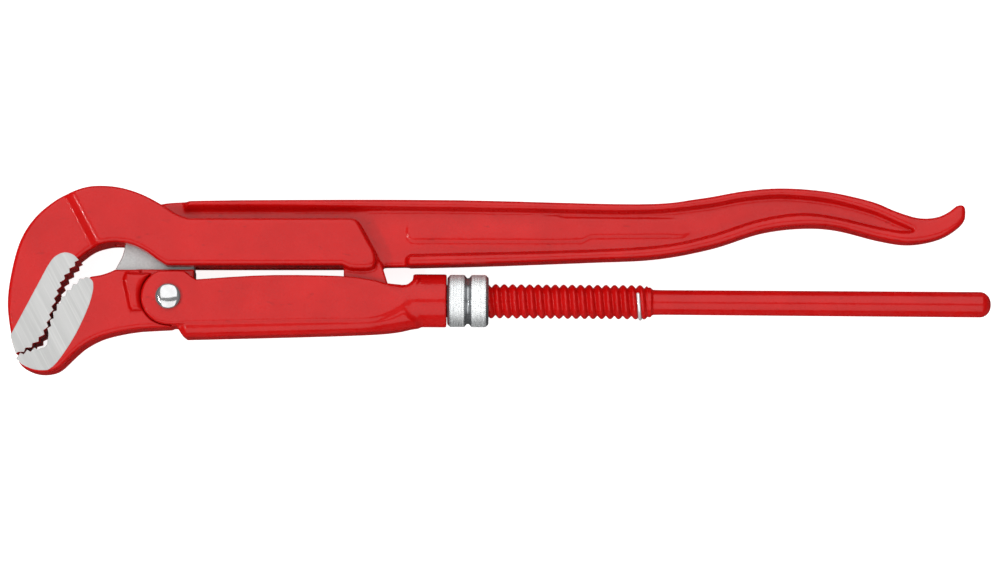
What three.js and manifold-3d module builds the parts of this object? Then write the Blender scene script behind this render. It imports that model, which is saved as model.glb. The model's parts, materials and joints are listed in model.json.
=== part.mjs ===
// Swedish-pattern pipe wrench with S-shaped jaws, for pipes up to 1 1/2 inch.
//
// Drawing frame: X runs from the jaws to the handle ends, Y from the lower leg up to the upper leg,
// Z is the thickness, with the mid-plane of the tool at z = 0. The jaw rivet's axis is the origin.
// The lower leg, its sleeve and its nut share one axis, which leaves the rivet at a small angle.
// Millimetres. At the end the whole tool is moved so that it lies on z = 0, centred on the origin.
import * as THREE from 'three';
import { mergeVertices } from 'three/addons/utils/BufferGeometryUtils.js';
import Module from 'manifold-3d';

const wasm = await Module();
wasm.setup();

// ---- driving dimensions --------------------------------------------------------------------

const TOOL_END = 350.9; // tip of the lower leg, from the rivet
const RUNNING_GAP = 0.35; // left between pieces that touch

const JAW_HALF = 9; // half thickness of both jaws
const BOX_HALF = 11.4; // half thickness of the upper leg behind its jaw
const RIB_HALF = 7.8; // half thickness of the handle over its ribs
const WEB_HALF = 3.4; // and between them
const TAIL_HALF = 6; // and at its curled end
const ARM_UNDERSIDE = 13.6; // the straight face that the lower jaw slides along

const TOOTH_DEPTH = 1.25;
const TOOTH_TIP = 0.35; // the tip's place along each tooth

const GUIDE_HALF = 3; // half thickness of the guide tongue
const GUIDE_HEAD_HALF = 5.2; // and of its T-shaped head
const GUIDE_HEAD_LOW = 24.6;
const GUIDE_HEAD_HIGH = 28.2;
const GUIDE_FRONT = -17; // front end of the head
const CARRIAGE_REAR = 10.6; // rear end of the tongue and of the lower jaw's tail
const GUIDE_SLOT_END = 73.6;
const JAW_TAIL_HALF = 7; // half thickness of the lower jaw between the sleeve's cheeks
const JAW_TAIL_TOP = 12;

const LEVER_TILT = THREE.MathUtils.degToRad(-0.41); // the lower leg's axis, against the upper leg
const CHEEK_HALF = 11; // the sleeve, over its cheeks
const CHANNEL_HALF = 7.5; // and between them
const CHEEK_ROUND = 11.6; // radius of the cheeks around the rivet
const CHANNEL_END = 100;
const SOCKET_START = 104.5;
const SOCKET_END = 118.2;
const SOCKET_RADIUS = 11.4;
const SOCKET_BORE = 7.8;

const RIVET_RADIUS = 4;
const RIVET_HEAD_RADIUS = 5.5;
const RIVET_HEAD_HEIGHT = 2.2;

const THREAD_PITCH = 3.63; // right-hand, one start
const THREAD_MEAN = 6.6; // radius half-way up the rounded thread
const THREAD_WAVE = 0.75; // half the thread's depth
const THREAD_PHASE = 1.2; // a crest passes the top line here, and at each pitch from it
const THREAD_START = 115;
const THREAD_END = 205.5;
const THREAD_CLEARANCE = 0.45; // radial, between the nut and the leg

const ROD_RADIUS = 5.3; // the lower leg behind its thread
const ROD_END_RADIUS = 5.45;
const NECK_HALF = 3; // the leg's flattened front end
const NECK_HEIGHT = 5.2;
const PIN_X = 83.2; // cross pin, along the lower leg's axis
const PIN_RADIUS = 3.2;
const PIN_HALF_LENGTH = 6.8;

const LUG_HALF = 7; // the upper leg's forked lug
const LUG_FRONT = 74.4;
const LUG_BOTTOM = -10;

const NUT_START = SOCKET_END + RUNNING_GAP;
const NUT_END = 136.2;
const NUT_RADIUS = 11.2;
const NUT_GROOVE = 1.5; // depth of the groove between its two knurled bands

const RING_WIRE = 0.7; // wire radius of the stop ring
const RING_X = 200.1; // where the groove that holds it passes a quarter turn
const RING_START = 0.17; // ends of the wire, in turns from the top line
const RING_SWEEP = 0.75;

// ---- finishes ------------------------------------------------------------------------------

const finish = (color, roughness, metalness) =>
  new THREE.MeshStandardMaterial({ color, roughness, metalness });
const redCoat = finish(0xc8201f, 0.25, 0);
const bareSteel = finish(0xb4b6b6, 0.45, 1);
const polishedSteel = finish(0xe2e3e4, 0.15, 1);
const platedSteel = finish(0xd2d8da, 0.3, 1);

// ---- helpers -------------------------------------------------------------------------------

/** A manifold solid from a closed three.js geometry. */
function solid(geometry) {
  const bare = geometry.clone();
  bare.deleteAttribute('normal');
  bare.deleteAttribute('uv');
  const merged = mergeVertices(bare, 1e-4);
  return new wasm.Manifold(
    new wasm.Mesh({
      numProp: 3,
      vertProperties: merged.attributes.position.array,
      triVerts: new Uint32Array(merged.index.array),
    }),
  );
}

/** A named mesh from a manifold solid. */
function piece(name, body, material) {
  const { vertProperties, triVerts } = body.getMesh();
  const geometry = new THREE.BufferGeometry();
  geometry.setAttribute('position', new THREE.BufferAttribute(vertProperties, 3));
  geometry.setIndex(new THREE.BufferAttribute(triVerts, 1));
  geometry.computeVertexNormals();
  const mesh = new THREE.Mesh(geometry, material);
  mesh.name = name;
  return mesh;
}

const vectors = (pairs) => pairs.map(([x, y]) => new THREE.Vector2(x, y));

/** Points on a smooth curve through the given ones. */
const smooth = (pairs, steps) => new THREE.SplineCurve(vectors(pairs)).getPoints(steps);

/** Points on an arc about (x, y), from one angle to another, in degrees. */
function arc(x, y, radius, from, to, steps) {
  return Array.from({ length: steps + 1 }, (_, i) => {
    const angle = THREE.MathUtils.degToRad(from + ((to - from) * i) / steps);
    return new THREE.Vector2(x + radius * Math.cos(angle), y + radius * Math.sin(angle));
  });
}

/** A flat plate with an XY outline, between two heights. */
function slab(outline, low, high) {
  const geometry = new THREE.ExtrudeGeometry(new THREE.Shape(outline), {
    depth: high - low,
    bevelEnabled: false,
  });
  return solid(geometry.translate(0, 0, low));
}

/** The same, equally thick on both sides of the mid-plane. */
const plate = (outline, half) => slab(outline, -half, half);

function block(x0, x1, y0, y1, half) {
  const outline = vectors([
    [x0, y0],
    [x1, y0],
    [x1, y1],
    [x0, y1],
  ]);
  return plate(outline, half);
}

/** A solid of revolution about the X axis, from [x, radius] pairs; it closes onto the axis. */
function turned(profile, segments) {
  const first = profile[0][0];
  const last = profile[profile.length - 1][0];
  const points = [[first, 0], ...profile, [last, 0]].map(([x, r]) => new THREE.Vector2(r, x));
  return solid(new THREE.LatheGeometry(points, segments).rotateZ(-Math.PI / 2));
}

/** A rod along X whose radius waves in a right-hand helix, which is a rounded thread. */
function threaded(x0, x1, meanRadius, segments) {
  const rows = Math.ceil(((x1 - x0) / THREAD_PITCH) * 6);
  const positions = [x0, 0, 0];
  for (let i = 0; i <= rows; i++) {
    const x = x0 + ((x1 - x0) * i) / rows;
    for (let j = 0; j < segments; j++) {
      const turn = j / segments;
      const wave = Math.cos(2 * Math.PI * ((x - THREAD_PHASE) / THREAD_PITCH - turn));
      const radius = meanRadius + THREAD_WAVE * wave;
      positions.push(x, radius * Math.cos(2 * Math.PI * turn), radius * Math.sin(2 * Math.PI * turn));
    }
  }
  positions.push(x1, 0, 0);
  const end = positions.length / 3 - 1;
  const at = (i, j) => 1 + i * segments + (j % segments);
  const index = [];
  for (let j = 0; j < segments; j++) {
    index.push(0, at(0, j + 1), at(0, j));
    index.push(end, at(rows, j), at(rows, j + 1));
    for (let i = 0; i < rows; i++) {
      index.push(at(i, j), at(i, j + 1), at(i + 1, j));
      index.push(at(i + 1, j), at(i, j + 1), at(i + 1, j + 1));
    }
  }
  const geometry = new THREE.BufferGeometry();
  geometry.setAttribute('position', new THREE.Float32BufferAttribute(positions, 3));
  geometry.setIndex(index);
  return solid(geometry);
}

/** A toothed edge along a curve: each tooth is a root, then a tip standing off to the given side. */
function teeth(curve, count, side) {
  const points = [];
  for (let i = 0; i < count; i++) {
    const tip = (i + TOOTH_TIP) / count;
    const along = curve.getTangentAt(tip);
    const out = new THREE.Vector2(-along.y, along.x).multiplyScalar(side * TOOTH_DEPTH);
    points.push(curve.getPointAt(i / count), curve.getPointAt(tip).add(out));
  }
  points.push(curve.getPointAt(1));
  return points;
}

// ---- upper leg: hook jaw, guide box, ribbed handle and forked lug, one forging ----------------

const hookFace = new THREE.SplineCurve(
  vectors([
    [-40, 14.9],
    [-45.6, 7.5],
    [-48.6, -0.4],
    [-50.7, -7.6],
    [-53.2, -14.8],
    [-57.5, -19.8],
    [-63.7, -23.6],
  ]),
);

const throat = smooth(
  [
    [-40, 14.9],
    [-37.4, 17.5],
    [-33, 20.9],
    [-28, 23.1],
    [-22.5, 23.7],
    [-16.5, 22.9],
    [-10.5, 20.2],
    [-5, 16],
    [-1, ARM_UNDERSIDE],
  ],
  20,
);

function hookJaw() {
  const back = smooth(
    [
      [-64.7, -24.3],
      [-66.9, -17],
      [-68.8, -3],
      [-67.3, 11],
      [-63.6, 24.6],
      [-57.4, 34.4],
      [-48.9, 41.7],
      [-42.4, 45],
    ],
    24,
  );
  const outline = [
    ...teeth(hookFace, 13, 1).reverse(),
    ...throat.slice(1, 11),
    ...vectors([[-25, 40]]),
    ...back.reverse(),
  ];
  return plate(outline, JAW_HALF);
}

function guideBox() {
  const top = smooth(
    [
      [-42, 45.3],
      [-36, 47.2],
      [-29.5, 47.9],
      [-21, 47.1],
      [-12, 44.3],
      [-4, 40.2],
      [2.5, 36],
      [8, 33.8],
    ],
    16,
  );
  const outline = [
    ...throat.filter((p) => p.x > -31.5),
    ...vectors([
      [75, ARM_UNDERSIDE],
      [76.7, 11.6],
      [86.2, 11.6],
    ]),
    ...arc(86.2, 13.9, 2.3, -60, 0, 3),
    ...vectors([
      [87.9, 19],
      [81.7, 30.5],
      [79.6, 32.8],
      [77, 33.8],
    ]),
    ...top.reverse(),
  ];
  return plate(outline, BOX_HALF);
}

function ribbedHandle() {
  const top = smooth(
    [
      [-5.5, 40],
      [5, 41.6],
      [60, 42.2],
      [124, 42],
      [200, 40.3],
      [226, 42.6],
      [246, 46],
      [263, 47.1],
      [282, 45.5],
      [300, 41.5],
      [318, 35],
      [323, 34.7],
      [330, 36.8],
      [336.5, 39.8],
    ],
    60,
  );
  const bottom = smooth(
    [
      [340.2, 37],
      [338.6, 31.8],
      [330, 26],
      [317, 23.4],
      [304, 25.1],
      [285, 29.9],
      [270, 30.7],
      [252.6, 28.4],
      [232, 21.9],
      [208, 17.4],
      [180, 16],
      [130, 14.2],
      [84, ARM_UNDERSIDE],
    ],
    48,
  );
  const outline = [...top, ...bottom, ...vectors([[70, 20], [-4, 30]])].reverse();
  const pocketTop = smooth(
    [
      [5.5, 38],
      [98, 38],
      [150, 36.9],
      [200, 36.2],
      [228, 38.6],
      [246, 41.6],
      [263, 42.8],
      [282, 40.9],
      [300, 36.4],
      [312, 31],
    ],
    36,
  );
  const pocketBottom = smooth(
    [
      [312, 28.6],
      [298, 31.4],
      [285, 34.5],
      [270, 36.3],
      [252, 33.8],
      [230, 26.6],
      [208, 22.2],
      [170, 20.2],
      [106, 18.6],
    ],
    32,
  );
  const recess = [
    ...pocketTop,
    ...pocketBottom,
    ...arc(103.5, 16, 2.6, 90, 180, 3),
    ...vectors([
      [100.9, 10],
      [60, 10],
      [-12, 30],
      [-12, 50],
      [5.5, 50],
    ]),
  ].reverse();
  const profile = vectors([
    [-20, -RIB_HALF],
    [290, -RIB_HALF],
    [318, -TAIL_HALF],
    [360, -TAIL_HALF],
    [360, TAIL_HALF],
    [318, TAIL_HALF],
    [290, RIB_HALF],
    [-20, RIB_HALF],
  ]);
  const thickness = solid(
    new THREE.ExtrudeGeometry(new THREE.Shape(profile), { depth: 100, bevelEnabled: false })
      .rotateX(Math.PI / 2)
      .translate(0, 80, 0),
  );
  return plate(outline, RIB_HALF)
    .subtract(slab(recess, WEB_HALF, 20))
    .subtract(slab(recess, -20, -WEB_HALF))
    .intersect(thickness);
}

function forkedLug() {
  const outline = vectors([
    [LUG_FRONT, 20],
    [LUG_FRONT, LUG_BOTTOM],
    [90, LUG_BOTTOM],
    [93.2, -5],
    [93.2, 6],
    [90.5, 14.5],
    [86, 20],
  ]);
  const fork = block(LUG_FRONT - 5, 100, LUG_BOTTOM - 5, 6, GUIDE_HALF + 0.4);
  const slotHalf = PIN_RADIUS + 0.7;
  const pinY = PIN_X * Math.tan(LEVER_TILT);
  const pinSlot = [
    ...arc(PIN_X, pinY, slotHalf, 0, 180, 8),
    ...vectors([
      [PIN_X - slotHalf, LUG_BOTTOM - 5],
      [PIN_X + slotHalf, LUG_BOTTOM - 5],
    ]),
  ];
  return plate(outline, LUG_HALF).subtract(fork).subtract(plate(pinSlot, 20));
}

/** The T-slot that the guide tongue runs in, open along the arm's underside. */
function guideSlot() {
  const room = 0.4;
  const stem = block(-24, GUIDE_SLOT_END, 0, GUIDE_HEAD_HIGH + room, GUIDE_HALF + room);
  const head = block(
    GUIDE_FRONT - room,
    GUIDE_SLOT_END,
    GUIDE_HEAD_LOW - room,
    GUIDE_HEAD_HIGH + room,
    GUIDE_HEAD_HALF + room,
  );
  return stem.add(head);
}

const upperLeg = hookJaw()
  .add(guideBox())
  .add(ribbedHandle())
  .subtract(guideSlot())
  .add(forkedLug());

// ---- lower jaw: toothed head, shoulder pads and a slotted tail --------------------------------

const jawFace = new THREE.SplineCurve(
  vectors([
    [-36.2, 7.7],
    [-41.7, 2.8],
    [-45.8, -2.6],
    [-48.7, -9],
    [-50.8, -16],
  ]),
);

const noseFace = new THREE.SplineCurve(
  vectors([
    [-55.4, -22.6],
    [-59.6, -23.9],
    [-64.1, -25.9],
  ]),
);

function lowerJaw() {
  const underside = smooth(
    [
      [-64.6, -26.6],
      [-62.4, -29.4],
      [-59, -31.4],
      [-54.5, -32.4],
      [-49.5, -31.8],
      [-45.7, -29.8],
      [-40, -24.3],
      [-35.5, -20.6],
      [-28.7, -17.1],
      [-20.2, -14.9],
      [-12.5, -13.7],
    ],
    24,
  );
  const head = [
    ...underside,
    ...vectors([
      [1.5, -13.1],
      [1.5, -8],
      [-10, -5],
      [-12.5, JAW_TAIL_TOP],
      [-23, JAW_TAIL_TOP],
    ]),
    ...smooth(
      [
        [-25.1, 11],
        [-29, 9.7],
        [-33.5, 9],
      ],
      4,
    ),
    ...teeth(jawFace, 8, -1),
    ...arc(-53.4, -19.6, 2.1, 0, -115, 5),
    ...teeth(noseFace, 3, -1),
  ];
  const padRound = CHEEK_ROUND + 0.8;
  const pad = [
    ...vectors([
      [-18.6, 10.5],
      [-19.8, 7.2],
      [-17.1, -4.8],
      [-15.8, -6.3],
    ]),
    ...arc(0, 0, padRound, 210, 124, 8),
  ];
  const tail = [
    ...vectors([
      [-14, -13.6],
      [3.4, -12.3],
    ]),
    ...arc(5.6, -7.3, 5, -70, 0, 4),
    ...vectors([
      [CARRIAGE_REAR, JAW_TAIL_TOP],
      [-14, JAW_TAIL_TOP],
    ]),
  ];
  const tongueSlot = block(-25.4, 20, -8.5, 20, GUIDE_HALF + RUNNING_GAP);
  const bore = plate(arc(0, 0, RIVET_RADIUS + RUNNING_GAP, 0, 345, 23), 20);
  const room = plate([...arc(0, 0, padRound, 125, 270, 13), ...vectors([[30, -padRound], [30, 40]])], 30)
    .subtract(plate(tail, JAW_TAIL_HALF));
  return plate(head, JAW_HALF)
    .add(plate(pad.reverse(), CHEEK_HALF))
    .subtract(room)
    .add(plate(tail, JAW_TAIL_HALF))
    .subtract(tongueSlot)
    .subtract(bore);
}

// ---- guide tongue: a T-headed steel plate, riveted into the lower jaw -------------------------

function guideTongue() {
  const front = smooth(
    [
      [-25, 8.4],
      [-23, 13],
      [-20.6, 17.6],
      [-19.4, 22],
      [-19, 26],
    ],
    8,
  );
  const stem = [
    ...front,
    ...vectors([
      [-18, GUIDE_HEAD_HIGH],
      [CARRIAGE_REAR, GUIDE_HEAD_HIGH],
      [CARRIAGE_REAR, 0],
    ]),
    ...arc(0, 0, 8, 0, -150, 10),
  ].reverse();
  const head = block(GUIDE_FRONT, CARRIAGE_REAR, GUIDE_HEAD_LOW, GUIDE_HEAD_HIGH, GUIDE_HEAD_HALF);
  const bore = plate(arc(0, 0, RIVET_RADIUS + RUNNING_GAP, 0, 345, 23), 20);
  return plate(stem, GUIDE_HALF).add(head).subtract(bore);
}

// ---- jaw rivet: domed head in front, countersunk closing head behind --------------------------

const COUNTERSINK = 1.6;

function jawRivet() {
  const seat = CHEEK_HALF + RUNNING_GAP;
  const dome = Array.from({ length: 6 }, (_, i) => {
    const angle = (Math.PI / 2) * (i / 6);
    return [seat + 0.4 + (RIVET_HEAD_HEIGHT - 0.4) * Math.sin(angle), RIVET_HEAD_RADIUS * Math.cos(angle)];
  });
  const profile = [
    [-CHEEK_HALF, RIVET_RADIUS + COUNTERSINK],
    [-CHEEK_HALF + COUNTERSINK, RIVET_RADIUS],
    [seat, RIVET_RADIUS],
    [seat, RIVET_HEAD_RADIUS],
    ...dome,
    [seat + RIVET_HEAD_HEIGHT, 0.5],
  ];
  return turned(profile, 32).rotate([0, -90, 0]);
}

// ---- guide sleeve: a U-shaped channel with a round socket behind it ---------------------------

function guideSleeve() {
  const flatTop = 10.9;
  const flatStart = THREE.MathUtils.radToDeg(Math.acos(-3.9 / CHEEK_ROUND));
  const belly = smooth(
    [
      [7.2, -17.1],
      [36, -16.2],
      [66, -15.2],
      [92, -14],
      [101, -13.3],
      [SOCKET_START + 1, -SOCKET_RADIUS],
    ],
    14,
  );
  const side = [
    ...arc(0, 0, CHEEK_ROUND, flatStart, 272, 16),
    ...vectors([
      [3.3, -11.9],
      [5.5, -15.7],
    ]),
    ...belly,
    ...vectors([
      [SOCKET_START + 1, 8],
      [103.5, 6.6],
    ]),
    ...smooth(
      [
        [101.8, 5.7],
        [93.3, 6.2],
        [86, 7.6],
        [73, 9.1],
        [41.4, 9.2],
        [11.5, 7.2],
      ],
      12,
    ),
    ...vectors([[6.4, flatTop]]),
  ];
  const section = vectors([
    [-12.6, -CHEEK_HALF],
    [-15.2, -9.9],
    [-17.1, -6.5],
    [-17.5, 0],
    [-17.1, 6.5],
    [-15.2, 9.9],
    [-12.6, CHEEK_HALF],
    [20, CHEEK_HALF],
    [20, -CHEEK_HALF],
  ]);
  const roundedSpine = solid(
    new THREE.ExtrudeGeometry(new THREE.Shape(section), { depth: 160, bevelEnabled: false })
      .rotateY(Math.PI / 2)
      .rotateX(Math.PI / 2)
      .translate(-20, 0, 0),
  );
  const channel = vectors([
    [-20, -13.5],
    [7.2, -13.5],
    [CHANNEL_END - 4, -9.9],
    [CHANNEL_END, -6],
    [CHANNEL_END, 20],
    [-20, 20],
  ]);
  const socket = turned(
    [
      [SOCKET_START - 3, SOCKET_RADIUS - 1],
      [SOCKET_START, SOCKET_RADIUS],
      [SOCKET_END - 0.6, SOCKET_RADIUS],
      [SOCKET_END, SOCKET_RADIUS - 0.6],
    ],
    40,
  );
  const rivetHole = turned(
    [
      [-30, RIVET_RADIUS + COUNTERSINK + RUNNING_GAP],
      [-CHEEK_HALF, RIVET_RADIUS + COUNTERSINK + RUNNING_GAP],
      [-CHEEK_HALF + COUNTERSINK, RIVET_RADIUS + RUNNING_GAP],
      [30, RIVET_RADIUS + RUNNING_GAP],
    ],
    32,
  ).rotate([0, -90, 0]);
  const bore = turned(
    [
      [CHANNEL_END - 8, SOCKET_BORE],
      [SOCKET_END + 5, SOCKET_BORE],
    ],
    36,
  );
  return plate(side, CHEEK_HALF)
    .intersect(roundedSpine)
    .add(socket)
    .subtract(plate(channel, CHANNEL_HALF))
    .subtract(bore)
    .subtract(rivetHole);
}

// ---- lower leg: flattened eye, shank, rounded thread and plain round handle --------------------

function lowerLeg() {
  const tip = Array.from({ length: 6 }, (_, i) => {
    const angle = (Math.PI / 2) * (i / 6);
    return [TOOL_END - 4.6 + 4.6 * Math.sin(angle), 0.5 + (ROD_END_RADIUS - 0.5) * Math.cos(angle)];
  });
  const shank = turned(
    [
      [95, 3.6],
      [98, 5.5],
      [THREAD_START, 5.5],
      [THREAD_START + 1, 5],
      [THREAD_END, 5],
      [THREAD_END, THREAD_MEAN + THREAD_WAVE],
      [THREAD_END + 1.2, THREAD_MEAN + THREAD_WAVE],
      [THREAD_END + 3, ROD_RADIUS],
      ...tip,
      [TOOL_END, 0.5],
    ],
    28,
  );
  const neck = plate(
    [
      ...arc(PIN_X, 0, NECK_HEIGHT, 90, 270, 10),
      ...vectors([
        [98, -4.4],
        [104, -4.4],
        [104, 4.4],
        [98, 4.4],
      ]),
    ],
    NECK_HALF,
  );
  const eye = plate(arc(PIN_X, 0, PIN_RADIUS + RUNNING_GAP, 0, 340, 17), 20);
  return neck
    .add(shank)
    .subtract(eye)
    .add(threaded(THREAD_START, THREAD_END + 0.5, THREAD_MEAN, 18));
}

function crossPin() {
  const profile = [
    [-PIN_HALF_LENGTH, PIN_RADIUS - 0.5],
    [-PIN_HALF_LENGTH + 0.5, PIN_RADIUS],
    [PIN_HALF_LENGTH - 0.5, PIN_RADIUS],
    [PIN_HALF_LENGTH, PIN_RADIUS - 0.5],
  ];
  return turned(profile, 24).rotate([0, -90, 0]).translate([PIN_X, 0, 0]);
}

// ---- adjusting nut: two knurled bands with a groove between them, threaded inside --------------

function adjustingNut() {
  const middle = (NUT_START + NUT_END) / 2;
  const body = turned(
    [
      [NUT_START, NUT_RADIUS - 1.2],
      [NUT_START + 1.4, NUT_RADIUS],
      [middle - 1.8, NUT_RADIUS],
      [middle - 0.4, NUT_RADIUS - NUT_GROOVE],
      [middle + 0.4, NUT_RADIUS - NUT_GROOVE],
      [middle + 1.8, NUT_RADIUS],
      [NUT_END - 1.4, NUT_RADIUS],
      [NUT_END, NUT_RADIUS - 1.2],
    ],
    48,
  );
  return body.subtract(threaded(NUT_START - 1, NUT_END + 1, THREAD_MEAN + THREAD_CLEARANCE, 24));
}

// ---- stop ring: an open wire ring in a groove of the thread ------------------------------------

class GrooveLine extends THREE.Curve {
  getPoint(t) {
    const turn = RING_START + RING_SWEEP * t;
    const angle = 2 * Math.PI * turn;
    const radius = THREAD_MEAN - THREAD_WAVE + RING_WIRE + 0.7;
    return new THREE.Vector3(
      RING_X + THREAD_PITCH * (turn - 0.25),
      radius * Math.cos(angle),
      radius * Math.sin(angle),
    );
  }
}

function stopRing() {
  const section = new THREE.Shape().absarc(0, 0, RING_WIRE, 0, 2 * Math.PI);
  const geometry = new THREE.ExtrudeGeometry(section, {
    curveSegments: 4,
    steps: 28,
    extrudePath: new GrooveLine(),
    bevelEnabled: false,
  });
  return solid(geometry);
}

// ---- assembly ------------------------------------------------------------------------------

const lever = new THREE.Group();
lever.rotation.z = LEVER_TILT;
lever.add(
  piece('guide_sleeve', guideSleeve(), redCoat.clone()),
  piece('lower_leg', lowerLeg(), redCoat.clone()),
  piece('cross_pin', crossPin(), bareSteel.clone()),
  piece('adjusting_nut', adjustingNut(), platedSteel),
  piece('stop_ring', stopRing(), bareSteel.clone()),
);

const wrench = new THREE.Group();
wrench.add(
  piece('upper_leg', upperLeg, redCoat),
  piece('lower_jaw', lowerJaw(), redCoat.clone()),
  piece('guide_tongue', guideTongue(), bareSteel),
  piece('jaw_rivet', jawRivet(), polishedSteel),
  lever,
);

const extent = new THREE.Box3().setFromObject(wrench);
const centre = extent.getCenter(new THREE.Vector3());
wrench.position.set(-centre.x, -centre.y, -extent.min.z);

export default wrench;
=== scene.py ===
import json
import math
import bmesh
import bpy
import numpy as np
from mathutils import Matrix, Vector


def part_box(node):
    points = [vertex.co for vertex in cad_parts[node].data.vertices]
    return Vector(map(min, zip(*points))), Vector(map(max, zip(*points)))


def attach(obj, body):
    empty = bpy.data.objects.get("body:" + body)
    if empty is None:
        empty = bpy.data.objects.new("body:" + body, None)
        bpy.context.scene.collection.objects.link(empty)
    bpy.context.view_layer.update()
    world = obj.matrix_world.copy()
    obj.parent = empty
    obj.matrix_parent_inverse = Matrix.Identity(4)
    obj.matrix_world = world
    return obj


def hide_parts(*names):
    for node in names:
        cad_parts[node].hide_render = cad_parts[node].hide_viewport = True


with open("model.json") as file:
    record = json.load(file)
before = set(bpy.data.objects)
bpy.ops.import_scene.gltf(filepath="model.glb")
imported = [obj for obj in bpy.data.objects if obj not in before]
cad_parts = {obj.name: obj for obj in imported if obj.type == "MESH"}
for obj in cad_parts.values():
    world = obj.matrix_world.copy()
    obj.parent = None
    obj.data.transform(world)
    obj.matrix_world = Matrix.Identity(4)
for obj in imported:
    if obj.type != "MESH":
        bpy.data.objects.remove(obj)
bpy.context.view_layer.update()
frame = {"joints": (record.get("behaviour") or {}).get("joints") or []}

# ---- where the drawing lies ------------------------------------------------------------------

MM = 0.001
rivet_low, rivet_high = (Vector(corner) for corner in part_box("jaw_rivet"))
leg_low, leg_high = (Vector(corner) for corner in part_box("upper_leg"))
rivet_axis = (rivet_low + rivet_high) / 2
rivet_axis.z = (leg_low.z + leg_high.z) / 2
spin_axis = next(joint["axis"] for joint in frame["joints"] if joint["name"] == "nut_spin")
LEVER_TILT = math.atan2(spin_axis[1], spin_axis[0])
DRAWING = Matrix.Translation(rivet_axis) @ Matrix.Scale(MM, 4)
LEVER = DRAWING @ Matrix.Rotation(LEVER_TILT, 4, "Z")

# ---- driving dimensions, millimetres ----------------------------------------------------------

JAW_HALF = 9.0  # half thickness of both jaws
BOX_HALF = 11.4  # of the upper leg behind its jaw
RIB_HALF = 7.8  # of the handle over its ribs
WEB_HALF = 3.4  # and between them
TAIL_HALF = 6.0  # and at its curled end
ARM_UNDERSIDE = 13.2
DRAFT = 0.03  # slope of a forged wall, per millimetre of height
PANEL_RISE = 0.6  # of the plain raised panel on the web
RECESS_SLOPE = 0.22  # of the walls between the handle's ribs
START_DEPTH = 1.2  # how much deeper the web lies beside the box
START_SLOPE = 0.16  # and how much gentler the recess's walls are there
GROUND_PROUD = 0.04  # how far the ground flanks stand over the coat beside them
FACE_INSET = 1.3  # how far the coated forgings stay behind the teeth

TOOTH_DEPTH = 1.25
TOOTH_TIP = 0.35  # the tip's place along each tooth
BROKEN_EDGE = 0.12  # on the ground flanks and teeth

GUIDE_HALF = 3.0  # half thickness of the tongue and of the leg's eye
SLOT_PLAY = 0.4
JAW_SLOT_PLAY = 0.35
LUG_HALF = 7.0  # of the lug's fork, and of the jaw's tail
RIVET_RADIUS = 4.0
RIVET_BORE = 4.35
CHEEK_HALF = 11.0
CHANNEL_HALF = 7.5
CHEEK_ROUND = 11.6
SOCKET_START = 104.5
SOCKET_END = 118.2
SOCKET_RADIUS = 11.35
SOCKET_BORE = 7.8
SOCKET_REACH = 9.0  # how far the socket runs forward into the cheeks
SOCKET_TAPER = 3.2  # and how much its radius loses on the way

THREAD_PITCH = 3.63
THREAD_MEAN = 6.6
THREAD_WAVE = 0.75
THREAD_PHASE = 1.2
THREAD_START = 115.0
THREAD_END = 204.2
THREAD_CLEARANCE = 0.45
ROD_RADIUS = 5.3
ROD_END_RADIUS = 5.45
TOOL_END = 350.9
PIN_X = 83.2
PIN_RADIUS = 3.2
PIN_PLAY = 0.35  # in the leg's eye
NOTCH_PLAY = 0.7  # and in the lug's open notch

NUT_START = 118.55
NUT_END = 136.2
NUT_RADIUS = 11.2
NUT_BORE = 8.2  # at its two mouths
NUT_CHAMFER = 1.3
NUT_GROOVE = 1.4  # depth of the groove around its middle

COARSE = 1.0  # sample spacing, as a multiple of the final one

# ---- outlines ----------------------------------------------------------------------------------


def spline(points, steps):
    """Points on a smooth curve through the given ones."""
    p = np.array(points, float)
    p = np.vstack([p[0], p, p[-1]])
    at = np.linspace(0, len(points) - 1, steps + 1)
    k = np.minimum(at.astype(int), len(points) - 2)
    t = (at - k)[:, None]
    a, b, c, d = p[k], p[k + 1], p[k + 2], p[k + 3]
    v, w = (c - a) / 2, (d - b) / 2
    return (2 * b - 2 * c + v + w) * t**3 + (3 * c - 3 * b - 2 * v - w) * t**2 + v * t + b


def arc(x, y, radius, start, end, steps):
    """Points on an arc about (x, y), between two angles in degrees."""
    angle = np.radians(np.linspace(start, end, steps + 1))
    return np.column_stack([x + radius * np.cos(angle), y + radius * np.sin(angle)])


def outline(*runs):
    """One closed outline from runs of points."""
    return np.vstack([np.array(run, float).reshape(-1, 2) for run in runs])


def along(curve, shares):
    """Points and left-hand normals at shares of a fine curve's length."""
    steps = np.diff(curve, axis=0)
    length = np.concatenate([[0], np.cumsum(np.hypot(*steps.T))])
    want = np.asarray(shares) * length[-1]
    point = np.column_stack([np.interp(want, length, curve[:, n]) for n in (0, 1)])
    k = np.clip(np.searchsorted(length, want) - 1, 0, len(steps) - 1)
    tangent = steps[k] / np.hypot(*steps[k].T)[:, None]
    return point, np.column_stack([-tangent[:, 1], tangent[:, 0]])


def beside(curve, distance):
    """The same curve, moved to its left."""
    point, normal = along(curve, np.linspace(0, 1, 25))
    return point + normal * distance


def teeth(curve, count, side):
    """A toothed edge along a curve: roots on the curve, tips standing off to one side."""
    root, _ = along(curve, np.arange(count + 1) / count)
    tip, normal = along(curve, (np.arange(count) + TOOTH_TIP) / count)
    tip = tip + side * TOOTH_DEPTH * normal
    return np.vstack([np.column_stack([root[:-1], tip]).reshape(-1, 2), root[-1]])


# ---- shapes as sampled fields: negative inside the metal, in millimetres -------------------------


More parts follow.
